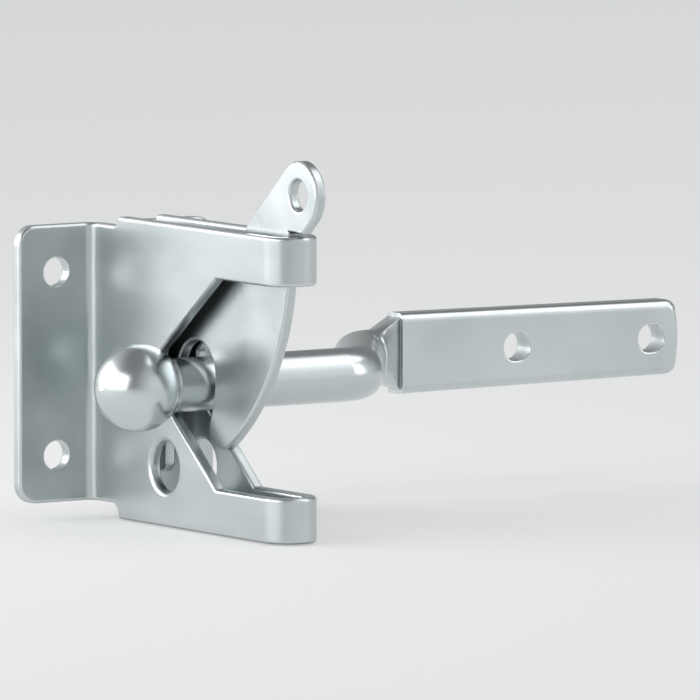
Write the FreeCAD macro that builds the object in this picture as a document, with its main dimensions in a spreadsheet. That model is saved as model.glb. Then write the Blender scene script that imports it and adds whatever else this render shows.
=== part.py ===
import FreeCAD, Part
import math
import os
import re
import Sketcher
from FreeCAD import Vector

# Automatic gate latch: a folded sheet case, a gravity lever between its walls and a
# cranked striker bar that the lever hooks. Millimetres. The origin is the centre of the
# four post screws, on the plane that both screw flanges and the striker plate seat on:
# X runs along the striker bar, -Y points out towards the person, +Z is up.

# Driving sizes
SIZES = [
    # folded case
    ("sheet_wall", 2.5),
    ("case_width", 11.6),
    ("case_depth", 72.4),
    ("case_rise", 30.2),
    ("case_drop", 31.3),
    ("flange_reach", 17.6),
    ("flange_high", 56.6),
    ("flange_corner", 4.0),
    ("flange_bend", 2.0),
    ("relief_depth", 11.9),
    ("relief_round_top", 1.8),
    ("relief_round_low", 2.8),
    ("post_hole_bore", 6.0),
    ("post_hole_out", 8.8),
    ("post_hole_pitch", 37.4),
    # mouth that funnels the bar in
    ("mouth_top", 20.3),
    ("mouth_low", 22.1),
    ("mouth_start", 48.75),
    ("throat_top", 4.1),
    ("throat_low", 4.3),
    ("throat_behind_bar", 7.1),
    ("throat_round", 1.5),
    # padlock hole
    ("lock_bore", 10.3),
    ("lock_out", 29.5),
    ("lock_drop", 19.2),
    ("lock_rim", 1.0),
    # striker
    ("bar_bore", 11.0),
    ("bar_out", 34.7),
    ("bar_drop", 2.2),
    ("ball_size", 17.7),
    ("ball_beyond_wall", 9.5),
    ("collar_size", 12.0),
    ("collar_gap", 2.6),
    ("collar_blend", 1.2),
    ("crank_start", 37.4),
    ("crank_run", 19.4),
    ("crank_back", 29.2),
    ("crank_bend_out", 8.0),
    ("crank_bend_in", 6.0),
    ("plate_start", 67.5),
    ("plate_root_high", 16.7),
    ("plate_end_high", 15.6),
    ("plate_thick", 5.5),
    ("plate_corner", 2.5),
    ("plate_end_round", 30.0),
    ("plate_edge_round", 1.8),
    ("forge_long", 7.4),
    ("forge_step", 0.8),
    ("forge_corner", 60.0),
    ("slot_wide", 6.0),
    ("slot_long", 6.8),
    ("slot_first", 28.3),
    ("slot_pitch", 33.5),
    ("plate_past_slots", 7.4),
    # lever
    ("lever_thick", 2.5),
    ("pivot_behind_bar", 18.0),
    ("pivot_above_bar", 2.8),
    ("hook_clearance", 1.0),
    ("bite_radius", 7.0),
    ("bite_behind_bar", 0.3),
    ("bite_above_bar", 1.8),
    ("hook_round", 4.3),
    ("hook_angle", 22.8),
    ("ramp_below_top", 2.5),
    ("stop_gap", 0.75),
    ("tab_round", 6.9),
    ("tab_angle", 41.0),
    ("tab_past_stop", 3.2),
    ("tab_over_nose", 8.4),
    ("tab_bore", 6.2),
    ("knee_below_top", 1.5),
    ("boss_round", 6.5),
    ("tail_reach", 6.2),
    ("tail_drop", 19.6),
    ("tail_round", 2.25),
    # rivet and washers
    ("shank_bore", 4.8),
    ("shank_clearance", 0.08),
    ("head_size", 6.4),
    ("head_high", 1.3),
    ("washer_size", 9.0),
    ("washer_play", 0.1),
    # edges softened by tumbling before the zinc goes on
    ("case_soft", 0.4),
    ("lever_soft", 0.4),
    ("plate_soft", 0.5),
]

size = dict(SIZES)
# Cuts run this far past the metal
MARGIN = 10.0
# A position or a bore is read this closely
NEAR = 0.01
# A straight edge is as long as the span of its ends, within this
STRAIGHT = 1e-6
# Faces that meet at more degrees than this make an edge, and a probe this far from it finds metal or air
EDGE_TURN = 30
PROBE = 0.02

doc = FreeCAD.newDocument("gate_latch")
sheet = doc.addObject("Spreadsheet::Sheet", "sizes")
for row, (alias, number) in enumerate(SIZES, start=1):
    sheet.set("A%d" % row, alias)
    sheet.set("B%d" % row, str(number))
    sheet.setAlias("B%d" % row, alias)
doc.recompute()

# Values worked out from the driving sizes, for the first shape of each sketch
wall = size["sheet_wall"]
half = size["case_width"] / 2
gap_half = half - wall
bar = size["bar_bore"] / 2
pivot_reach = math.hypot(size["pivot_behind_bar"], size["pivot_above_bar"])
pivot = Vector(0, size["pivot_behind_bar"] - size["bar_out"], size["pivot_above_bar"] - size["bar_drop"])


def cells(formula):
    """The formula with each size name turned into its cell of the sheet."""
    def cell(word):
        return "sizes." + word.group() if word.group() in size else word.group()
    return re.sub(r"[a-z_]+", cell, formula)


def polar(centre, radius, degrees):
    """The point at a radius and an angle from a centre."""
    turn = math.radians(degrees)
    return (centre[0] + radius * math.cos(turn), centre[1] + radius * math.sin(turn))


def new_body(name, **place):
    """A body whose base point follows the sheet: x, y and z are formulas."""
    body = doc.addObject("PartDesign::Body", name)
    body.Label = name
    for axis, formula in place.items():
        body.setExpression("Placement.Base." + axis, cells(formula))
    return body


def plane_of(body, role):
    return next(feature for feature in body.Origin.OriginFeatures if feature.Role == role)


class Outline:
    """A sketch on one of its body's own planes, drawn and dimensioned piece by piece."""

    def __init__(self, body, role, name, lift=None):
        self.sketch = body.newObject("Sketcher::SketchObject", name)
        self.sketch.AttachmentSupport = [(plane_of(body, role), "")]
        self.sketch.MapMode = "FlatFace"
        if lift is not None:
            self.sketch.setExpression("AttachmentOffset.Base.z", cells(lift))
            doc.recompute()

    def line(self, start, end):
        return self.sketch.addGeometry(Part.LineSegment(Vector(*start, 0), Vector(*end, 0)), False)

    def arc(self, centre, radius, first, last):
        ring = Part.Circle(Vector(*centre, 0), Vector(0, 0, 1), radius)
        return self.sketch.addGeometry(
            Part.ArcOfCircle(ring, math.radians(first), math.radians(last)), False)

    def circle(self, centre, radius):
        return self.sketch.addGeometry(Part.Circle(Vector(*centre, 0), Vector(0, 0, 1), radius), False)

    def tie(self, kind, *where):
        self.sketch.addConstraint(Sketcher.Constraint(kind, *where))

    def join(self, *ends):
        """Tie a chain of (piece, end) pairs together, two by two."""
        for first, second in zip(ends[::2], ends[1::2]):
            self.tie("Coincident", *first, *second)

    def blend(self, *ends):
        """Tie pairs of ends together smoothly."""
        for first, second in zip(ends[::2], ends[1::2]):
            self.tie("Tangent", *first, *second)

    def drive(self, kind, where, now, formula):
        """Add a measured constraint and bind it to the sheet."""
        index = self.sketch.addConstraint(Sketcher.Constraint(kind, *where, now))
        name = "size%d" % index
        self.sketch.renameConstraint(index, name)
        self.sketch.setExpression("Constraints." + name, cells(formula))

    def place(self, piece, end, across=None, up=None):
        """Hold a point at distances from the sketch's own axes."""
        spot = self.sketch.getPoint(piece, end)
        for kind, now, formula in (("DistanceX", spot.x, across), ("DistanceY", spot.y, up)):
            if formula is None:
                continue
            if now < 0:
                self.drive(kind, (piece, end, -1, 1), -now, formula)
            else:
                self.drive(kind, (-1, 1, piece, end), now, formula)

    def radius(self, piece, formula):
        now = self.sketch.Geometry[piece].Radius
        self.drive("Radius", (piece,), now, formula)

    def polygon(self, points):
        """Closed straight outline; returns the lines' numbers."""
        lines = [self.line(points[i - 1], points[i]) for i in range(1, len(points))]
        lines.append(self.line(points[-1], points[0]))
        for i in range(len(lines)):
            self.tie("Coincident", lines[i - 1], 2, lines[i], 1)
        return lines

    def done(self):
        """Solve the sketch and stop if its constraints don't fit together."""
        state = self.sketch.solve()
        if state != 0:
            raise RuntimeError("sketch %s is not solved: %d" % (self.sketch.Name, state))
        doc.recompute()
        return self.sketch


def feature(body, kind, name, sketch=None):
    made = body.newObject("PartDesign::" + kind, name)
    if sketch is not None:
        made.Profile = sketch
        sketch.Visibility = False
    return made


def turned(body, name, sketch):
    """Spin a half profile about its sketch's own horizontal axis."""
    spin = feature(body, "Revolution", name, sketch)
    spin.ReferenceAxis = (sketch, ["H_Axis"])
    spin.Angle = 360
    doc.recompute()
    return spin


def cut_through(body, name, sketch):
    """Cut a profile right through the body both ways, and check that it took metal away."""
    before = body.Shape.Volume
    cut = feature(body, "Pocket", name, sketch)
    cut.SideType = "Symmetric"
    cut.Type = "ThroughAll"
    doc.recompute()
    if body.Shape.Volume > before - NEAR:
        raise RuntimeError("cut %s removed nothing" % name)
    return cut


def outer_edge(shape, edge):
    """True for an edge where two faces meet at an outward corner."""
    faces = shape.ancestorsOfType(edge, Part.Face)
    if len(faces) != 2:
        return False
    middle = edge.valueAt((edge.FirstParameter + edge.LastParameter) / 2)
    normals = [face.normalAt(*face.Surface.parameter(middle)) for face in faces]
    if math.degrees(normals[0].getAngle(normals[1])) < EDGE_TURN:
        return False
    probe = middle + (normals[0] - normals[1]) * PROBE
    return not shape.isInside(probe, PROBE / 20, False)


def dress(kind, body, name, formula, chosen):
    """Put a fillet or a chamfer on the edges that the test picks, at a size from the sheet."""
    base = body.Tip
    shape = base.Shape
    edges = ["Edge%d" % number for number, edge in enumerate(shape.Edges, start=1) if chosen(shape, edge)]
    made = feature(body, kind, name)
    made.Base = (base, edges)
    made.setExpression({"Fillet": "Radius", "Chamfer": "Size"}[kind], cells(formula))
    doc.recompute()
    return made


def rim_of(edge, bore):
    """True for a rim of a hole of the named size, which stays crisp."""
    return (isinstance(edge.Curve, Part.Circle)
            and abs(edge.Curve.Radius - size[bore] / 2) < size["shank_clearance"] + NEAR)


def along(edge, direction):
    """True where a straight edge runs along a direction."""
    if len(edge.Vertexes) != 2:
        return False
    span = edge.Vertexes[1].Point - edge.Vertexes[0].Point
    return (abs(edge.Length - span.Length) < STRAIGHT
            and abs(abs(span.dot(direction)) - span.Length) < STRAIGHT)


# Latch case: one strip of sheet, folded round the nose and out into two screw flanges
def make_case():
    body = new_body("latch_case")
    deep = size["case_depth"] - half
    bend = size["flange_bend"]
    fold = bend + wall
    reach = half + size["flange_reach"]
    plan = Outline(body, "XY_Plane", "folded_half")
    nose_out = plan.arc((0, -deep), half, -90, 0)
    side_out = plan.line((half, -deep), (half, -fold))
    bend_out = plan.arc((half + bend, -fold), bend, 90, 180)
    front = plan.line((half + bend, -wall), (reach, -wall))
    tip = plan.line((reach, -wall), (reach, 0))
    back = plan.line((reach, 0), (half + bend, 0))
    bend_in = plan.arc((half + bend, -fold), fold, 90, 180)
    side_in = plan.line((gap_half, -fold), (gap_half, -deep))
    nose_in = plan.arc((0, -deep), gap_half, -90, 0)
    middle = plan.line((0, -deep - gap_half), (0, -deep - half))
    plan.blend((nose_out, 2), (side_out, 1), (side_out, 2), (bend_out, 2), (bend_out, 1), (front, 1),
               (back, 2), (bend_in, 1), (bend_in, 2), (side_in, 1), (side_in, 2), (nose_in, 2))
    plan.join((front, 2), (tip, 1), (tip, 2), (back, 1), (nose_in, 1), (middle, 1), (middle, 2),
              (nose_out, 1), (nose_in, 3), (nose_out, 3), (bend_in, 3), (bend_out, 3))
    plan.tie("PointOnObject", nose_out, 3, -2)
    plan.tie("PointOnObject", middle, 1, -2)
    plan.tie("PointOnObject", middle, 2, -2)
    plan.tie("PointOnObject", tip, 2, -1)
    plan.tie("Vertical", side_out)
    plan.tie("Vertical", tip)
    plan.tie("Horizontal", back)
    plan.tie("Horizontal", front)
    plan.radius(nose_out, "case_width / 2")
    plan.radius(nose_in, "case_width / 2 - sheet_wall")
    plan.radius(bend_out, "flange_bend")
    plan.radius(bend_in, "flange_bend + sheet_wall")
    plan.place(nose_out, 1, up="case_depth")
    plan.place(tip, 1, across="case_width / 2 + flange_reach")
    strip = feature(body, "Pad", "folded_strip", plan.done())
    strip.SideType = "Two sides"
    strip.setExpression("Length", cells("case_rise"))
    strip.setExpression("Length2", cells("case_drop"))
    doc.recompute()

    other = feature(body, "Mirrored", "other_half")
    other.Originals = [strip]
    other.MirrorPlane = (plane_of(body, "YZ_Plane"), [""])
    body.Tip = other
    doc.recompute()

    # Mouth: a V that guides the bar to the flat end of the throat
    beyond = -size["case_depth"] - MARGIN
    start = -size["mouth_start"]
    throat = size["throat_behind_bar"] - size["bar_out"]
    mouth = Outline(body, "YZ_Plane", "mouth_profile")
    sides = mouth.polygon([(beyond, size["mouth_top"]), (start, size["mouth_top"]),
                           (throat, size["throat_top"]), (throat, -size["throat_low"]),
                           (start, -size["mouth_low"]), (beyond, -size["mouth_low"])])
    top, ramp_top, end, ramp_low, low, front = sides
    mouth.tie("Horizontal", top)
    mouth.tie("Horizontal", low)
    mouth.tie("Vertical", end)
    mouth.tie("Vertical", front)
    mouth.tie("Vertical", top, 2, low, 1)
    mouth.place(top, 1, across="case_depth + %g" % MARGIN, up="mouth_top")
    mouth.place(top, 2, across="mouth_start")
    mouth.place(end, 1, across="bar_out - throat_behind_bar", up="throat_top")
    mouth.place(end, 2, up="throat_low")
    mouth.place(low, 1, up="mouth_low")
    cut_through(body, "mouth", mouth.done())

    def throat_corner(shape, edge):
        return along(edge, Vector(1, 0, 0)) and abs(edge.CenterOfMass.y - throat) < NEAR
    dress("Fillet", body, "throat_corners", "throat_round", throat_corner)

    # Reliefs: behind the flanges' step the strip is as high as the flanges
    relief = Outline(body, "YZ_Plane", "relief_profile")
    for sign, rise, rounding in ((1, "case_rise", "relief_round_top"),
                                 (-1, "case_drop", "relief_round_low")):
        step = -size["relief_depth"]
        level = sign * size["flange_high"] / 2
        beyond = sign * (size[rise] + MARGIN)
        turn = size[rounding]
        floor = relief.line((MARGIN, level), (step + turn, level))
        angles = (180, 270) if sign > 0 else (90, 180)
        corner = relief.arc((step + turn, level + sign * turn), turn, *angles)
        rise_line = relief.line((step, level + sign * turn), (step, beyond))
        over = relief.line((step, beyond), (MARGIN, beyond))
        behind = relief.line((MARGIN, beyond), (MARGIN, level))
        near, far = (2, 1) if sign > 0 else (1, 2)
        relief.blend((floor, 2), (corner, near), (corner, far), (rise_line, 1))
        relief.join((rise_line, 2), (over, 1), (over, 2), (behind, 1), (behind, 2), (floor, 1))
        relief.tie("Horizontal", floor)
        relief.tie("Horizontal", over)
        relief.tie("Vertical", rise_line)
        relief.tie("Vertical", behind)
        relief.radius(corner, rounding)
        relief.place(rise_line, 2, across="relief_depth", up="%s + %g" % (rise, MARGIN))
        relief.place(floor, 1, across="%g" % MARGIN, up="flange_high / 2")
    cut_through(body, "reliefs", relief.done())

    # Post screw holes, two in each flange
    holes = Outline(body, "XZ_Plane", "post_hole_profile")
    out = half + size["post_hole_out"]
    for side in (-1, 1):
        for level in (-1, 1):
            centre = (side * out, level * size["post_hole_pitch"] / 2)
            hole = holes.circle(centre, size["post_hole_bore"] / 2)
            holes.radius(hole, "post_hole_bore / 2")
            holes.place(hole, 3, across="case_width / 2 + post_hole_out", up="post_hole_pitch / 2")
    cut_through(body, "post_holes", holes.done())

    # Padlock hole and rivet hole, through both walls
    side_holes = Outline(body, "YZ_Plane", "side_hole_profile")
    lock = side_holes.circle((-size["lock_out"], -size["lock_drop"]), size["lock_bore"] / 2)
    side_holes.radius(lock, "lock_bore / 2")
    side_holes.place(lock, 3, across="lock_out", up="lock_drop")
    rivet = side_holes.circle((pivot.y, pivot.z), size["shank_bore"] / 2)
    side_holes.radius(rivet, "shank_bore / 2")
    side_holes.place(rivet, 3, across="bar_out - pivot_behind_bar", up="pivot_above_bar - bar_drop")
    cut_through(body, "lock_and_rivet_holes", side_holes.done())

    def flange_corner(shape, edge):
        return along(edge, Vector(0, 1, 0)) and abs(edge.CenterOfMass.x) > reach - NEAR
    dress("Fillet", body, "flange_corners", "flange_corner", flange_corner)

    def lock_rim(shape, edge):
        return (isinstance(edge.Curve, Part.Circle)
                and abs(edge.Curve.Radius - size["lock_bore"] / 2) < NEAR
                and abs(edge.Curve.Axis.x) > 0.99 and abs(edge.CenterOfMass.x) > half - NEAR)
    dress("Fillet", body, "lock_rims", "lock_rim", lock_rim)

    def punched(shape, edge):
        crisp = rim_of(edge, "shank_bore") or rim_of(edge, "post_hole_bore")
        return outer_edge(shape, edge) and not crisp
    dress("Chamfer", body, "case_edges", "case_soft", punched)
    return body


# Lever: a plate hook that drops over the bar by its own weight. Its frame is at the pivot
# and -Y is forward, so both sides of its throat are arcs struck from the pivot.
STOP_CELLS = ("case_depth - case_width / 2"
              " + sqrt((case_width / 2 - sheet_wall) ^ 2 - (lever_thick / 2) ^ 2)"
              " - stop_gap - bar_out + pivot_behind_bar")


def make_lever():
    body = new_body("latch_lever", y="pivot_behind_bar - bar_out", z="pivot_above_bar - bar_drop")
    inner = pivot_reach - bar - size["hook_clearance"]
    outer = pivot_reach + bar + size["hook_clearance"]
    reach_cells = "sqrt(pivot_behind_bar ^ 2 + pivot_above_bar ^ 2)"
    bite = (size["bite_behind_bar"] - size["pivot_behind_bar"],
            size["bite_above_bar"] - size["pivot_above_bar"])
    hook_turn = 180 + size["hook_angle"]
    hook = polar((0, 0), outer + size["hook_round"], hook_turn)
    arm_turn = 180 - size["tab_angle"]
    tail = (size["tail_round"] - size["tail_reach"], -size["tail_drop"])

    # Stop edge: just behind the inside of the nose, as deep as the lever's own faces meet it
    nose = size["case_depth"] - half + math.sqrt(gap_half ** 2 - (size["lever_thick"] / 2) ** 2)
    stop = -(nose - size["stop_gap"] + pivot.y)
    shoulder = size["case_rise"] + size["stop_gap"] - pivot.z
    tab = (stop - size["tab_past_stop"], size["case_rise"] + size["tab_over_nose"] - pivot.z)
    tab_ahead_cells = STOP_CELLS + " + tab_past_stop"
    tab_above_cells = "case_rise + tab_over_nose - pivot_above_bar + bar_drop"
    knee_up = size["case_rise"] - size["knee_below_top"] - pivot.z

    # Where the outline's pieces meet
    arm_low = polar(tab, size["tab_round"], arm_turn + 90)
    arm_high = polar(tab, size["tab_round"], arm_turn - 90)
    slope = math.tan(math.radians(size["tab_angle"]))
    shoulder_out = (arm_low[0] + (arm_low[1] - shoulder) / slope, shoulder)
    knee = (arm_high[0] + (arm_high[1] - knee_up) / slope, knee_up)
    boss = size["boss_round"]
    boss_high = math.degrees(math.atan2(knee[1], knee[0]) - math.acos(boss / math.hypot(*knee)))
    tail_turn = math.degrees(math.atan2(tail[1], tail[0])
                             + math.acos((boss - size["tail_round"]) / math.hypot(*tail)))
    tail_edge = -size["tail_reach"]
    tail_top = -math.sqrt(inner ** 2 - tail_edge ** 2)
    # Ramp: one arc from the foot of the stop edge to the hook's lobe, smooth with both
    ramp_high = size["case_rise"] - size["ramp_below_top"] - pivot.z
    ramp_rise = ramp_high - hook[1]
    ramp_run = hook[0] - stop
    ramp_square = ramp_run ** 2 + ramp_rise ** 2 - size["hook_round"] ** 2
    ramp = ramp_square / (2 * (ramp_run - size["hook_round"]))
    ramp_centre = (stop + ramp, ramp_high)
    ramp_low_turn = math.degrees(math.atan2(-ramp_rise, ramp_run - ramp)) + 360

    def bite_end(radius):
        far = math.hypot(*bite)
        spread = math.acos((far ** 2 + radius ** 2 - size["bite_radius"] ** 2) / (2 * far * radius))
        return polar((0, 0), radius, math.degrees(math.atan2(bite[1], bite[0]) + spread) % 360)

    def turn_of(point, centre=(0, 0)):
        return math.degrees(math.atan2(point[1] - centre[1], point[0] - centre[0])) % 360
    bite_rear = bite_end(inner)
    bite_front = bite_end(outer)

    plate = Outline(body, "YZ_Plane", "lever_profile")
    stop_edge = plate.line((stop, ramp_high), (stop, shoulder))
    ledge = plate.line((stop, shoulder), shoulder_out)
    arm_front = plate.line(shoulder_out, arm_low)
    tab_arc = plate.arc(tab, size["tab_round"], arm_turn - 90, arm_turn + 90)
    arm_rear = plate.line(knee, arm_high)
    back = plate.line(knee, polar((0, 0), boss, boss_high))
    boss_arc = plate.arc((0, 0), boss, tail_turn, boss_high)
    tail_rear = plate.line(polar((0, 0), boss, tail_turn), polar(tail, size["tail_round"], tail_turn))
    tail_arc = plate.arc(tail, size["tail_round"], 180, tail_turn + 360)
    tail_front = plate.line((tail_edge, tail[1]), (tail_edge, tail_top))
    throat_rear = plate.arc((0, 0), inner, turn_of(bite_rear), turn_of((tail_edge, tail_top)))
    bite_arc = plate.arc(bite, size["bite_radius"], turn_of(bite_rear, bite) - 360,
                         turn_of(bite_front, bite))
    throat_front = plate.arc((0, 0), outer, turn_of(bite_front), hook_turn)
    hook_arc = plate.arc(hook, size["hook_round"], ramp_low_turn, hook_turn + 180)
    ramp_arc = plate.arc(ramp_centre, ramp, 180, ramp_low_turn)

    plate.blend((ramp_arc, 1), (stop_edge, 1), (arm_front, 2), (tab_arc, 2), (tab_arc, 1), (arm_rear, 2),
                (back, 2), (boss_arc, 2), (boss_arc, 1), (tail_rear, 1), (tail_rear, 2), (tail_arc, 2),
                (tail_arc, 1), (tail_front, 1), (throat_front, 2), (hook_arc, 2), (hook_arc, 1),
                (ramp_arc, 2))
    plate.join((stop_edge, 2), (ledge, 1), (ledge, 2), (arm_front, 1), (arm_rear, 1), (back, 1),
               (tail_front, 2), (throat_rear, 2), (throat_rear, 1), (bite_arc, 1), (bite_arc, 2),
               (throat_front, 1), (boss_arc, 3), (-1, 1), (throat_rear, 3), (-1, 1), (throat_front, 3),
               (-1, 1))
    plate.tie("Vertical", stop_edge)
    plate.tie("Horizontal", ledge)
    plate.tie("Vertical", tail_front)
    plate.tie("Parallel", arm_front, arm_rear)
    plate.drive("Angle", (arm_rear,), math.radians(arm_turn), "180 deg - tab_angle * 1 deg")
    plate.radius(tab_arc, "tab_round")
    plate.radius(boss_arc, "boss_round")
    plate.radius(tail_arc, "tail_round")
    plate.radius(throat_rear, reach_cells + " - bar_bore / 2 - hook_clearance")
    plate.radius(throat_front, reach_cells + " + bar_bore / 2 + hook_clearance")
    plate.radius(bite_arc, "bite_radius")
    plate.radius(hook_arc, "hook_round")
    plate.place(tab_arc, 3, across=tab_ahead_cells, up=tab_above_cells)
    plate.place(bite_arc, 3, across="pivot_behind_bar - bite_behind_bar",
                up="pivot_above_bar - bite_above_bar")
    plate.place(tail_arc, 3, up="tail_drop")
    plate.place(tail_front, 1, across="tail_reach")
    plate.place(stop_edge, 2, across=STOP_CELLS,
                up="case_rise + stop_gap - pivot_above_bar + bar_drop")
    plate.place(stop_edge, 1, up="case_rise - ramp_below_top - pivot_above_bar + bar_drop")
    plate.place(arm_rear, 1, up="case_rise - knee_below_top - pivot_above_bar + bar_drop")
    plate.place(hook_arc, 2,
                up="(" + reach_cells + " + bar_bore / 2 + hook_clearance) * sin(hook_angle * 1 deg)")
    blank = feature(body, "Pad", "lever_plate", plate.done())
    blank.SideType = "Symmetric"
    blank.setExpression("Length", cells("lever_thick"))
    doc.recompute()

    holes = Outline(body, "YZ_Plane", "lever_holes")
    pivot_hole = holes.circle((0, 0), size["shank_bore"] / 2 + size["shank_clearance"])
    holes.radius(pivot_hole, "shank_bore / 2 + shank_clearance")
    holes.tie("Coincident", pivot_hole, 3, -1, 1)
    pull_hole = holes.circle(tab, size["tab_bore"] / 2)
    holes.radius(pull_hole, "tab_bore / 2")
    holes.place(pull_hole, 3, across=tab_ahead_cells, up=tab_above_cells)
    cut_through(body, "pivot_and_pull_holes", holes.done())

    def rim(shape, edge):
        crisp = along(edge, Vector(1, 0, 0)) or rim_of(edge, "shank_bore")
        return outer_edge(shape, edge) and not crisp
    dress("Chamfer", body, "lever_edges", "lever_soft", rim)
    return body


# Pivot rivet: a plain shank with a low dome head against each wall
def make_rivet():
    body = new_body("pivot_rivet", y="pivot_behind_bar - bar_out", z="pivot_above_bar - bar_drop")
    head = size["head_size"] / 2
    shank = size["shank_bore"] / 2
    dome = (head ** 2 + size["head_high"] ** 2) / (2 * size["head_high"])
    end = half + size["head_high"]
    spread = math.degrees(math.asin(head / dome))
    outline = Outline(body, "XY_Plane", "rivet_profile")
    left = outline.arc((dome - end, 0), dome, 180 - spread, 180)
    left_face = outline.line((-half, head), (-half, shank))
    side = outline.line((-half, shank), (half, shank))
    right_face = outline.line((half, shank), (half, head))
    right = outline.arc((end - dome, 0), dome, 0, spread)
    axis = outline.line((end, 0), (-end, 0))
    outline.join((left, 1), (left_face, 1), (left_face, 2), (side, 1), (side, 2), (right_face, 1),
                 (right_face, 2), (right, 2), (right, 1), (axis, 1), (axis, 2), (left, 2))
    outline.tie("PointOnObject", left, 3, -1)
    outline.tie("PointOnObject", right, 3, -1)
    outline.tie("PointOnObject", axis, 1, -1)
    outline.tie("PointOnObject", axis, 2, -1)
    outline.tie("Vertical", left_face)
    outline.tie("Vertical", right_face)
    outline.tie("Horizontal", side)
    outline.place(left, 1, across="case_width / 2", up="head_size / 2")
    outline.place(right, 2, across="case_width / 2", up="head_size / 2")
    outline.place(left, 2, across="case_width / 2 + head_high")
    outline.place(right, 1, across="case_width / 2 + head_high")
    outline.place(side, 1, up="shank_bore / 2")
    turned(body, "rivet_turned", outline.done())
    return body


# Washers: one on each side of the lever, seated on the wall
def make_washer(name, seat):
    body = new_body(name, x=seat, y="pivot_behind_bar - bar_out", z="pivot_above_bar - bar_drop")
    ring = Outline(body, "YZ_Plane", "washer_profile")
    hole = ring.circle((0, 0), size["shank_bore"] / 2 + size["shank_clearance"])
    ring.radius(hole, "shank_bore / 2 + shank_clearance")
    rim = ring.circle((0, 0), size["washer_size"] / 2)
    ring.radius(rim, "washer_size / 2")
    ring.join((hole, 3), (-1, 1), (rim, 3), (-1, 1))
    disc = feature(body, "Pad", "washer_disc", ring.done())
    disc.setExpression("Length", cells("case_width / 2 - sheet_wall - lever_thick / 2 - washer_play"))
    doc.recompute()
    return body


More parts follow.
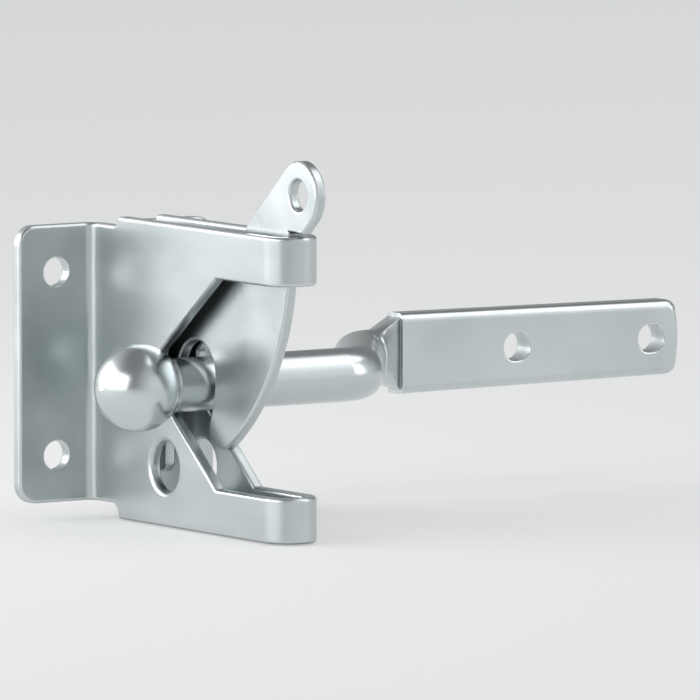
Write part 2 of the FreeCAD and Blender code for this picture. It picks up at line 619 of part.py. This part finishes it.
# Striker: ball, round bar, crank and screw plate forged in one piece. Its frame is on the
# bar's axis, with +Y back towards the plane that the plate seats on.
def make_striker():
    body = new_body("striker_bar", y="-bar_out", z="-bar_drop")
    ball = size["ball_size"] / 2
    ball_x = -(half + size["ball_beyond_wall"])
    flat_x = -(half + size["collar_gap"])
    collar = size["collar_size"] / 2
    blend = size["collar_blend"]
    # The hollow between ball and collar is struck from a point one blend radius off both
    hollow_up = collar + blend
    hollow_x = ball_x + math.sqrt((ball + blend) ** 2 - hollow_up ** 2)
    meets = math.degrees(math.atan2(hollow_up, hollow_x - ball_x))
    knob = Outline(body, "XY_Plane", "ball_profile")
    sphere = knob.arc((ball_x, 0), ball, meets, 180)
    hollow = knob.arc((hollow_x, hollow_up), blend, 180 + meets, 270)
    ring = knob.line((hollow_x, collar), (flat_x, collar))
    flat = knob.line((flat_x, collar), (flat_x, 0))
    axis = knob.line((flat_x, 0), (ball_x - ball, 0))
    knob.blend((sphere, 1), (hollow, 1), (hollow, 2), (ring, 1))
    knob.join((ring, 2), (flat, 1), (flat, 2), (axis, 1), (axis, 2), (sphere, 2))
    knob.tie("PointOnObject", sphere, 3, -1)
    knob.tie("PointOnObject", flat, 2, -1)
    knob.tie("Horizontal", axis)
    knob.tie("Horizontal", ring)
    knob.tie("Vertical", flat)
    knob.radius(sphere, "ball_size / 2")
    knob.radius(hollow, "collar_blend")
    knob.place(sphere, 3, across="case_width / 2 + ball_beyond_wall")
    knob.place(flat, 1, across="case_width / 2 + collar_gap", up="collar_size / 2")
    turned(body, "ball", knob.done())

    # Crank: the bar turns back, runs on slanting and turns parallel again
    corner_one = (size["crank_start"], 0)
    corner_two = (size["crank_start"] + size["crank_run"], size["crank_back"])
    slant = math.degrees(math.atan2(size["crank_back"], size["crank_run"]))
    bend_one = size["crank_bend_out"]
    bend_two = size["crank_bend_in"]
    tangent_one = bend_one * math.tan(math.radians(slant / 2))
    tangent_two = bend_two * math.tan(math.radians(slant / 2))
    half_slant_cells = "tan(atan(crank_back / crank_run) / 2)"
    forge_x = size["plate_start"] - size["forge_long"]
    into_one = (corner_one[0] - tangent_one, 0)
    out_one = polar(corner_one, tangent_one, slant)
    into_two = polar(corner_two, tangent_two, slant + 180)
    out_two = (corner_two[0] + tangent_two, corner_two[1])
    route = Outline(body, "XY_Plane", "crank_route")
    straight = route.line((flat_x, 0), into_one)
    first = route.arc((into_one[0], bend_one), bend_one, 270, 270 + slant)
    slanting = route.line(out_one, into_two)
    second = route.arc((out_two[0], out_two[1] - bend_two), bend_two, 90, 90 + slant)
    last = route.line(out_two, (forge_x, corner_two[1]))
    route.blend((straight, 2), (first, 1), (first, 2), (slanting, 1), (slanting, 2), (second, 2),
                (second, 1), (last, 1))
    route.tie("PointOnObject", straight, 1, -1)
    route.tie("Horizontal", straight)
    route.tie("Horizontal", last)
    route.radius(first, "crank_bend_out")
    route.radius(second, "crank_bend_in")
    route.place(straight, 1, across="case_width / 2 + collar_gap")
    route.place(straight, 2, across="crank_start - crank_bend_out * " + half_slant_cells)
    route.place(last, 1, across="crank_start + crank_run + crank_bend_in * " + half_slant_cells,
                up="crank_back")
    route.place(last, 2, across="plate_start - forge_long")
    spine = route.done()
    ring = Outline(body, "YZ_Plane", "bar_section", lift="-(case_width / 2 + collar_gap)")
    circle = ring.circle((0, 0), bar)
    ring.radius(circle, "bar_bore / 2")
    ring.tie("Coincident", circle, 3, -1, 1)
    rod = feature(body, "AdditivePipe", "cranked_bar", ring.done())
    rod.Spine = (spine, ["Edge%d" % number for number in range(1, 6)])
    spine.Visibility = False
    doc.recompute()

    # Forged change from the round bar to the flat plate, flush with the back of the plate
    back = size["bar_out"]
    thick = size["plate_thick"] - size["forge_step"]
    high = size["plate_root_high"] / 2 - size["forge_step"]
    round_end = Outline(body, "YZ_Plane", "forge_round", lift="plate_start - forge_long")
    turn = size["forge_corner"]
    corners = (-turn, turn, 180 - turn, 180 + turn, 360 - turn)
    quarters = [round_end.arc((size["crank_back"], 0), bar, *span) for span in zip(corners, corners[1:])]
    for i in range(len(quarters)):
        round_end.tie("Coincident", quarters[i - 1], 2, quarters[i], 1)
    round_end.join((quarters[0], 3), (quarters[1], 3), (quarters[1], 3), (quarters[2], 3))
    round_end.tie("PointOnObject", quarters[0], 3, -1)
    round_end.tie("PointOnObject", quarters[3], 3, -1)
    round_end.radius(quarters[0], "bar_bore / 2")
    round_end.place(quarters[0], 3, across="crank_back")
    round_end.place(quarters[0], 2, up="bar_bore / 2 * sin(forge_corner * 1 deg)")
    round_end.tie("Vertical", quarters[0], 1, quarters[0], 2)
    round_end.tie("Vertical", quarters[2], 1, quarters[2], 2)
    round_end.tie("Horizontal", quarters[1], 1, quarters[1], 2)
    section = round_end.done()
    flat_end = Outline(body, "YZ_Plane", "forge_flat", lift="plate_start")
    sides = flat_end.polygon([(back, -high), (back, high), (back - thick, high), (back - thick, -high)])
    flat_end.tie("Vertical", sides[0])
    flat_end.tie("Vertical", sides[2])
    flat_end.tie("Horizontal", sides[1])
    flat_end.tie("Horizontal", sides[3])
    flat_end.place(sides[0], 1, across="bar_out", up="plate_root_high / 2 - forge_step")
    flat_end.place(sides[2], 1, across="bar_out - plate_thick + forge_step",
                   up="plate_root_high / 2 - forge_step")
    forged = feature(body, "AdditiveLoft", "forged_neck", section)
    forged.Sections = [flat_end.done()]
    forged.Ruled = True
    doc.recompute()

    # Screw plate, a little narrower at its free end
    root = size["plate_root_high"] / 2
    tip = size["plate_end_high"] / 2
    near = size["plate_start"]
    far = near + size["slot_first"] + size["slot_pitch"] + size["plate_past_slots"]
    plan = Outline(body, "XZ_Plane", "plate_profile", lift="-bar_out")
    crown = size["plate_end_round"]
    crown_turn = math.degrees(math.asin(tip / crown))
    crown_x = far - crown
    left = plan.line((near, root), (near, -root))
    low = plan.line((near, -root), polar((crown_x, 0), crown, -crown_turn))
    end = plan.arc((crown_x, 0), crown, -crown_turn, crown_turn)
    top = plan.line(polar((crown_x, 0), crown, crown_turn), (near, root))
    plan.join((left, 2), (low, 1), (low, 2), (end, 1), (end, 2), (top, 1), (top, 2), (left, 1))
    plan.tie("Vertical", left)
    plan.tie("PointOnObject", end, 3, -1)
    plan.radius(end, "plate_end_round")
    plan.place(left, 1, across="plate_start", up="plate_root_high / 2")
    plan.place(left, 2, up="plate_root_high / 2")
    plan.place(end, 3,
               across="plate_start + slot_first + slot_pitch + plate_past_slots - plate_end_round")
    plan.place(end, 1, up="plate_end_high / 2")
    plan.place(end, 2, up="plate_end_high / 2")
    plate = feature(body, "Pad", "screw_plate", plan.done())
    plate.setExpression("Length", cells("plate_thick"))
    doc.recompute()

    def plate_corner(shape, edge):
        return along(edge, Vector(0, 1, 0)) and abs(abs(edge.CenterOfMass.z) - tip) < NEAR
    dress("Fillet", body, "plate_corners", "plate_corner", plate_corner)

    # Slotted screw holes
    slots = Outline(body, "XZ_Plane", "slot_profile")
    nose = size["slot_wide"] / 2
    run = (size["slot_long"] - size["slot_wide"]) / 2
    for count, formula in enumerate(("slot_first", "slot_first + slot_pitch")):
        middle = near + size["slot_first"] + count * size["slot_pitch"]
        upper = slots.line((middle - run, nose), (middle + run, nose))
        right_arc = slots.arc((middle + run, 0), nose, -90, 90)
        lower = slots.line((middle + run, -nose), (middle - run, -nose))
        left_arc = slots.arc((middle - run, 0), nose, 90, 270)
        slots.blend((upper, 2), (right_arc, 2), (right_arc, 1), (lower, 1), (lower, 2), (left_arc, 2),
                    (left_arc, 1), (upper, 1))
        slots.tie("Horizontal", upper)
        slots.tie("PointOnObject", right_arc, 3, -1)
        slots.tie("PointOnObject", left_arc, 3, -1)
        slots.radius(right_arc, "slot_wide / 2")
        slots.place(right_arc, 3, across="plate_start + " + formula + " + (slot_long - slot_wide) / 2")
        slots.place(left_arc, 3, across="plate_start + " + formula + " - (slot_long - slot_wide) / 2")
    cut_through(body, "slots", slots.done())

    front = back - size["plate_thick"]

    def rim(edge):
        centre = edge.CenterOfMass
        return abs(centre.z) > size["slot_wide"] / 2 + NEAR or centre.x > far - size["plate_corner"]

    def front_edge(shape, edge):
        centre = edge.CenterOfMass
        return (abs(centre.y - front) < NEAR and centre.x > near + NEAR and rim(edge)
                and outer_edge(shape, edge))
    dress("Fillet", body, "plate_front_edges", "plate_edge_round", front_edge)

    def plate_rest(shape, edge):
        spot = edge.CenterOfMass
        return spot.x > near + 1 and abs(spot.y - back) < NEAR and outer_edge(shape, edge)
    dress("Fillet", body, "plate_edges", "plate_soft", plate_rest)
    return body


make_case()
make_lever()
make_rivet()
make_washer("spacer_washer_left", "sheet_wall - case_width / 2")
make_washer("spacer_washer_right", "lever_thick / 2 + washer_play")
make_striker()
doc.recompute()

for item in doc.Objects:
    if "Invalid" in item.State or "Error" in item.State:
        raise RuntimeError("%s failed: %s" % (item.Name, item.State))
pieces = [item for item in doc.Objects if item.TypeId == "PartDesign::Body"]
for piece in pieces:
    if piece.Shape.isNull() or not piece.Shape.isValid():
        raise RuntimeError("%s has no valid shape" % piece.Label)
os.makedirs("parts", exist_ok=True)
for piece in pieces:
    piece.Shape.exportStep("parts/%s.step" % piece.Label)
    print(piece.Label, "volume", round(piece.Shape.Volume, 1), "solids", len(piece.Shape.Solids))
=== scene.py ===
# %% [markdown]
# # Automatic gate latch in bright zinc plate
#
# A gravity latch for a garden gate. A strip of steel is folded into a case with a V mouth,
# a flat lever hangs between its walls on a rivet, and a forged bar on the gate slides into
# the V until the lever drops over it. Everything is bright zinc plated, so the lesson is
# mostly about metal: how a few clean reflections make steel look like steel.
#
# The solids come from the CAD frame and stay where they are. This script gives them their
# finish, a floor, lamps and a camera.

# %% Load the frame
import math

import bmesh
import bpy
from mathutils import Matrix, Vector


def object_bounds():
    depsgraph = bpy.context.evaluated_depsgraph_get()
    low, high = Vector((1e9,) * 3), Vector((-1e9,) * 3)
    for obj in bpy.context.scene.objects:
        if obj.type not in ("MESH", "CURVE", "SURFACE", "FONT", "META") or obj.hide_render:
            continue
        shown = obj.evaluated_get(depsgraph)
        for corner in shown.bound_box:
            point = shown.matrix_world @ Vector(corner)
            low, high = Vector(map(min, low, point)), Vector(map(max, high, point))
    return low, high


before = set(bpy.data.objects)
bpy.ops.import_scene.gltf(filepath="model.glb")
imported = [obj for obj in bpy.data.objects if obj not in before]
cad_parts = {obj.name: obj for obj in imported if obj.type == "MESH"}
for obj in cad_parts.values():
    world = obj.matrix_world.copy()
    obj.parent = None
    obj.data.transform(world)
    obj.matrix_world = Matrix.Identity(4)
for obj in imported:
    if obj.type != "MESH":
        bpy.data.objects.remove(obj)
cad_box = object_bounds()
mm = 0.001
print("CAD box in mm:", [[round(value / mm, 1) for value in corner] for corner in cad_box])

# %% [markdown]
# ## Colours and nodes
#
# Colours are easiest to judge as the hex values that an image editor shows. Cycles wants
# them linear, so one function does that turn. A second one adds a shader node, sets its
# values and links its inputs, which keeps each material short enough to read. A third turns
# two angles, as a photographer gives them, into a direction for the lamps and the camera.

# %% Colour, node and direction helpers


def linear(hex_colour):
    """The linear colour of an sRGB hex value, by the standard's own curve."""
    channels = [int(hex_colour[i:i + 2], 16) / 255 for i in (1, 3, 5)]
    return [c / 12.92 if c <= 0.04045 else ((c + 0.055) / 1.055) ** 2.4 for c in channels] + [1.0]


def add_node(tree, kind, settings=None, inputs=None):
    """Adds a node, sets its properties, and sets or links its inputs."""
    node = tree.nodes.new(kind)
    for name, value in (settings or {}).items():
        setattr(node, name, value)
    for name, value in (inputs or {}).items():
        if isinstance(value, bpy.types.NodeSocket):
            tree.links.new(value, node.inputs[name])
        else:
            node.inputs[name].default_value = value
    return node


def direction(azimuth, elevation):
    """The direction from the latch, by the degrees round from the front and up from level."""
    a, e = math.radians(azimuth), math.radians(elevation)
    return Vector((math.sin(a) * math.cos(e), -math.cos(a) * math.cos(e), math.sin(e)))


# %% [markdown]
# ## Bright zinc plate
#
# Electroplated zinc is a thin, slightly cool grey metal skin over steel. It is never a
# mirror: reflections have soft borders, so the base is a metal of middling roughness. A
# noise pattern as large as a finger changes the roughness and the tint a little, like the
# bloom that the last rinse leaves, and keeps wide plain walls from looking painted.
#
# Sharp edges are rolled over by tumbling in the plating barrel. The solids have small
# chamfers there, and a Bevel node turns the light softly around them. Where that turned
# normal leaves the surface's own, the tint is painted lighter, a painted highlight that
# makes a thin bright line along every edge. In the narrow gap between the walls the tint
# is painted darker where ambient occlusion finds such places: painted shade.

# %% Zinc finishes
# The bloom changes the roughness by this much either way, over this middle part of its noise
roughness_swing = 0.03
bloom_range = (0.3, 0.7)
# How well the turned normal agrees with the surface's own: from flat to fully rolled over
flat_agrees, rolled_agrees = 0.998, 0.93
# Painted highlight: the share by which the edges' tint goes towards this light tint
edge_highlight_share = 0.8
edge_highlight_tint = "#F1F4F4"
# Painted shade in a gap about as wide as this between the walls, from shut in to half open
narrow_mm = 7
shut_in, half_open = 0.15, 0.6
gap_shade_share = 0.55
gap_shade_tint = "#2E3436"


def zinc(name, colour, roughness, bloom_mm, edge_mm):
    """Bright zinc plate: its two tints, its roughness, the size of its bloom along X, Y and Z,
    and how far its edges roll over, which also sets the width of the painted edge highlight."""
    material = bpy.data.materials.new(name)
    material.use_nodes = True
    tree = material.node_tree
    tree.nodes.clear()
    place = add_node(tree, "ShaderNodeTexCoord")
    scaled = add_node(tree, "ShaderNodeMapping", inputs={
        "Vector": place.outputs["Object"], "Scale": [1 / (spread * mm) for spread in bloom_mm]})
    bloom = add_node(tree, "ShaderNodeTexNoise", inputs={
        "Vector": scaled.outputs["Vector"], "Scale": 1.0, "Detail": 2.0, "Roughness": 0.5})
    rough = add_node(tree, "ShaderNodeMapRange", inputs={
        "Value": bloom.outputs["Fac"], "From Min": bloom_range[0], "From Max": bloom_range[1],
        "To Min": roughness - roughness_swing, "To Max": roughness + roughness_swing})
    tint = add_node(tree, "ShaderNodeValToRGB", inputs={"Fac": bloom.outputs["Fac"]})
    for stop, position, hex_colour in zip(tint.color_ramp.elements, bloom_range, colour):
        stop.position = position
        stop.color = linear(hex_colour)
    rolled = add_node(tree, "ShaderNodeBevel", {"samples": 8}, {"Radius": edge_mm * mm})
    surface = add_node(tree, "ShaderNodeNewGeometry")
    agree = add_node(tree, "ShaderNodeVectorMath", {"operation": "DOT_PRODUCT"})
    tree.links.new(rolled.outputs["Normal"], agree.inputs[0])
    tree.links.new(surface.outputs["Normal"], agree.inputs[1])
    # Painted highlight: a lighter tint where the rolled normal leaves the surface's own
    edge_highlight_mask = add_node(tree, "ShaderNodeMapRange", inputs={
        "Value": agree.outputs["Value"], "From Min": flat_agrees, "From Max": rolled_agrees,
        "To Min": 0.0, "To Max": edge_highlight_share})
    with_edge_highlight = add_node(tree, "ShaderNodeMixRGB", inputs={
        "Fac": edge_highlight_mask.outputs["Result"], "Color1": tint.outputs["Color"],
        "Color2": linear(edge_highlight_tint)})
    open_to_air = add_node(tree, "ShaderNodeAmbientOcclusion", {"samples": 8},
                           {"Distance": narrow_mm * mm})
    # Painted shade: a darker tint where ambient occlusion finds the walls close together
    gap_shade_mask = add_node(tree, "ShaderNodeMapRange", inputs={
        "Value": open_to_air.outputs["AO"], "From Min": shut_in, "From Max": half_open,
        "To Min": gap_shade_share, "To Max": 0.0})
    plate = add_node(tree, "ShaderNodeMixRGB", inputs={
        "Fac": gap_shade_mask.outputs["Result"], "Color1": with_edge_highlight.outputs["Color"],
        "Color2": linear(gap_shade_tint)})
    metal = add_node(tree, "ShaderNodeBsdfPrincipled", inputs={
        "Base Color": plate.outputs["Color"], "Metallic": 1.0, "Roughness": rough.outputs["Result"],
        "Normal": rolled.outputs["Normal"]})
    add_node(tree, "ShaderNodeOutputMaterial", inputs={"Surface": metal.outputs["BSDF"]})
    return material


rivet_zinc = zinc("bright_zinc_on_rivet", ("#BCC3C4", "#C6CCCD"), 0.28, (4, 4, 4), 0.2)
finishes = {
    # Rolled sheet: the bloom is drawn out along the strip, from the post to the nose
    "latch_case": zinc("bright_zinc_on_rolled_sheet", ("#C3CACB", "#CED4D5"), 0.31,
                       (9, 26, 9), 0.6),
    # Blanked plate, tumbled flat and smooth
    "latch_lever": zinc("bright_zinc_on_blanked_plate", ("#C5CCCD", "#D0D6D7"), 0.29,
                        (12, 12, 12), 0.5),
    # Forged and tumbled bar, which keeps the brightest plate
    "striker_bar": zinc("bright_zinc_on_forging", ("#CAD1D3", "#D3D9DA"), 0.24,
                        (16, 12, 12), 0.5),
    "pivot_rivet": rivet_zinc,
    "spacer_washer_left": rivet_zinc,
    "spacer_washer_right": rivet_zinc,
}
for name, finish in finishes.items():
    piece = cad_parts[name]
    for slot in piece.material_slots:
        slot.material = finish
    print(name, "wears", finish.name, "on", len(piece.material_slots), "slot")

# %% [markdown]
# ## Floor
#
# The latch hangs on a post in use. Here its case stands on a pale floor, which gives it a
# soft shadow. Lamps fall off with distance, so a matt floor alone grows dark towards the
# back of the picture. Half of what the camera sees is therefore an even glow of the floor's
# own colour, and the other half is the lit surface, which keeps the shadow. Metal and glass
# mirror the same mix, but all other rays see plain matt, so the glow lights nothing.

# %% Build the floor
floor_gap = 0.3 * mm
floor_size = 14.0
glow_share = 0.5


def seen_rays(tree):
    """1 for rays from the camera, straight or by a mirror or glass, and 0 for all others."""
    ray = add_node(tree, "ShaderNodeLightPath")
    seen = ray.outputs["Is Camera Ray"]
    for kind in ("Is Glossy Ray", "Is Transmission Ray"):
        either = add_node(tree, "ShaderNodeMath", {"operation": "MAXIMUM"})
        tree.links.new(seen, either.inputs[0])
        tree.links.new(ray.outputs[kind], either.inputs[1])
        seen = either.outputs[0]
    return seen


def pale_floor(colour):
    """Matt floor that glows by a share for camera, mirrored and transmitted rays only."""
    material = bpy.data.materials.new("pale_studio_floor")
    material.use_nodes = True
    tree = material.node_tree
    tree.nodes.clear()
    matt = add_node(tree, "ShaderNodeBsdfDiffuse", inputs={"Color": linear(colour)})
    even = add_node(tree, "ShaderNodeEmission", inputs={"Color": linear(colour)})
    share = add_node(tree, "ShaderNodeMath", {"operation": "MULTIPLY"})
    tree.links.new(seen_rays(tree), share.inputs[0])
    share.inputs[1].default_value = glow_share
    mix = add_node(tree, "ShaderNodeMixShader", inputs={"Fac": share.outputs[0]})
    tree.links.new(matt.outputs["BSDF"], mix.inputs[1])
    tree.links.new(even.outputs["Emission"], mix.inputs[2])
    add_node(tree, "ShaderNodeOutputMaterial", inputs={"Surface": mix.outputs["Shader"]})
    return material


form = bmesh.new()
bmesh.ops.create_grid(form, x_segments=1, y_segments=1, size=floor_size / 2)
bmesh.ops.translate(form, verts=form.verts, vec=(0, 0, cad_box[0][2] - floor_gap))
floor_mesh = bpy.data.meshes.new("floor")
form.to_mesh(floor_mesh)
form.free()
floor = bpy.data.objects.new("floor", floor_mesh)
floor.data.materials.append(pale_floor("#F0F1F1"))
bpy.context.collection.objects.link(floor)
print("floor", round((cad_box[0][2] - floor_gap) / mm, 1), "mm from the post screws' centre")

# %% [markdown]
# ## Lamps
#
# Metal shows the room more than its own colour, so each lamp is a soft box placed for what
# it draws. The wide one at the left leaves the white patch on the ball. The card behind on
# the left stands close by and a little above the floor, so the case's wall mirrors it at
# the nose and along the top and fades to grey downwards and towards the post. The one above
# on the right draws the bright band along the bar, and a strip at the right draws the line
# on the nose. Lamp power follows from the brightness that the box itself shows, so a lamp
# can be made larger without making it brighter. No lamp shows in the picture itself.
#
# The world is a plain pale dome. Mirrored rays see it bright along one line, which the wall
# and the screw plate face, and dimmer across it, at the camera's side and behind. That is
# the white table and dark room of a product studio: it keeps a grey body in the ball, a
# thin dark rim round it, and darkness in the folds between the walls.

# %% Set the lamps


def soft_box(name, azimuth, elevation, distance, size, brightness):
    """A lamp of a size in metres that looks at the latch. It is placed by its distance and
    by the degrees round from the front and up from level."""
    lamp = bpy.data.lights.new(name, "AREA")
    lamp.shape = "RECTANGLE"
    lamp.size, lamp.size_y = size
    lamp.energy = brightness * math.pi * size[0] * size[1]
    holder = bpy.data.objects.new(name, lamp)
    outwards = direction(azimuth, elevation)
    holder.location = outwards * distance
    holder.rotation_euler = outwards.to_track_quat("Z", "Y").to_euler()
    holder.visible_camera = False
    bpy.context.collection.objects.link(holder)
    print(name, "at", [round(value, 2) for value in holder.location])


# Name, degrees round, degrees up, metres away, width and height in metres, brightness
soft_box("left_box", -88, 19, 1.4, (1.5, 0.9), 2.4)
soft_box("back_left_card", -130, 22, 0.42, (0.34, 0.28), 3.5)
soft_box("upper_right_box", 66, 56, 2.6, (1.7, 1.5), 1.4)
soft_box("right_strip", 50, 20, 3.4, (0.7, 2.0), 2.0)

world = bpy.data.worlds.new("studio")
bpy.context.scene.world = world
world.use_nodes = True
sky = world.node_tree
sky.nodes.clear()
pale = linear("#ECEEEF")
dome_strength = 0.5
dome = add_node(sky, "ShaderNodeBackground", inputs={"Color": pale, "Strength": dome_strength})
# Level direction that the wall, from the left, and the screw plate, from the right, mirror
bright_line = (0.545, -0.839, 0.0)
towards = add_node(sky, "ShaderNodeTexCoord")
side = add_node(sky, "ShaderNodeVectorMath", {"operation": "DOT_PRODUCT"})
sky.links.new(towards.outputs["Generated"], side.inputs[0])
side.inputs[1].default_value = bright_line
either_end = add_node(sky, "ShaderNodeMath", {"operation": "ABSOLUTE"})
sky.links.new(side.outputs["Value"], either_end.inputs[0])
# How near to that line, as a cosine, the dome starts to grow brighter and where it is full
starts_at, full_at = 0.3, 0.9
dim_level, full_level = 0.3, 1.0
level = add_node(sky, "ShaderNodeMapRange", inputs={
    "Value": either_end.outputs[0], "From Min": starts_at, "From Max": full_at,
    "To Min": dim_level, "To Max": full_level})
mirrored = add_node(sky, "ShaderNodeBackground", inputs={
    "Color": pale, "Strength": level.outputs["Result"]})
choose = add_node(sky, "ShaderNodeMixShader", inputs={"Fac": seen_rays(sky)})
sky.links.new(dome.outputs["Background"], choose.inputs[1])
sky.links.new(mirrored.outputs["Background"], choose.inputs[2])
add_node(sky, "ShaderNodeOutputWorld", inputs={"Surface": choose.outputs["Shader"]})

# %% [markdown]
# ## Camera
#
# The photo is taken from the ball's side, a little above level, with a long lens: lines
# that are parallel on the latch stay parallel in the picture. A far camera with a long lens
# gives the same. The aim point is the spot on the latch that sits in the middle of the
# frame.

# %% Place the camera
view_azimuth = -33.0
view_elevation = 5.57
view_distance = 3.0
sensor_width = 36.0
image_width = 700
pixels_per_mm = 4.86
aim = Vector((58.1 * mm, 0, -1.3 * mm))

back = direction(view_azimuth, view_elevation)
lens = bpy.data.cameras.new("long_lens")
lens.sensor_width = sensor_width
lens.lens = pixels_per_mm / mm * view_distance * sensor_width / image_width
lens.clip_end = 50
camera = bpy.data.objects.new("camera", lens)
camera.location = aim + back * view_distance
camera.rotation_euler = back.to_track_quat("Z", "Y").to_euler()
bpy.context.collection.objects.link(camera)
bpy.context.scene.camera = camera
bpy.context.scene.view_settings.view_transform = "Standard"
print("lens", round(lens.lens), "mm")
